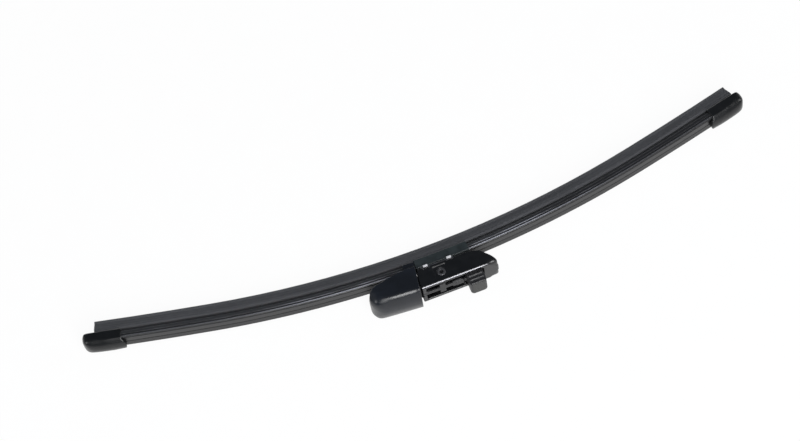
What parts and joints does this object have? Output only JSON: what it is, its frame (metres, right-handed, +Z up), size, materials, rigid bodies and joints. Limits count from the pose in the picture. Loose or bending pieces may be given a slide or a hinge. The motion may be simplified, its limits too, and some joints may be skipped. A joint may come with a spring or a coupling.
{
  "type": "wiper blade",
  "caption": "Slim curved wiper blade with a soft rubber strip on spring rails, end caps and a swivelling arm connector with a push-button latch.",
  "frame": {"origin": "centre of the blade's outline on the surface it lies on", "axes": "+X along the blade, +Y toward the rubber lip, +Z up across the blade's width"},
  "size_m": [0.3994, 0.0652, 0.0216],
  "materials": {
    "rubber": "matte",
    "spring_steel": "satin, dark",
    "cover": "satin black",
    "cap": "semi-gloss black",
    "clamp": "matte black",
    "bracket": "bright zinc",
    "pin_steel": "zinc",
    "bush": "natural nylon",
    "adapter": "semi-gloss black",
    "latch": "satin black",
    "nose": "semi-gloss black"
  },
  "bodies": {
    "blade": {"wiper_rubber": "rubber", "rail_upper": "spring_steel", "rail_lower": "spring_steel", "cover_left": "cover", "cover_right": "cover", "end_cap_left": "cap", "end_cap_right": "cap", "clamp_base": "clamp", "pivot_bracket": "bracket", "bracket_rivets": "pin_steel", "pivot_pin": "pin_steel", "pivot_bush": "bush", "nose_cover": "nose"},
    "adapter": {"adapter_body": "adapter"},
    "latch": {"release_latch": "latch"}
  },
  "joints": [
    {"name": "adapter_swing", "type": "hinge", "parent": "blade", "child": "adapter", "pos_m": [0.00083, -0.01911, 0.0108], "axis": [0, 0, 1], "range_deg": [-8, 8]},
    {"name": "latch_press", "type": "hinge", "parent": "adapter", "child": "latch", "pos_m": [-0.01177, -0.02446, 0.0108], "axis": [0, 0, 1], "range_deg": [0, 6], "stiffness_Nm_per_rad": 1}
  ]
}
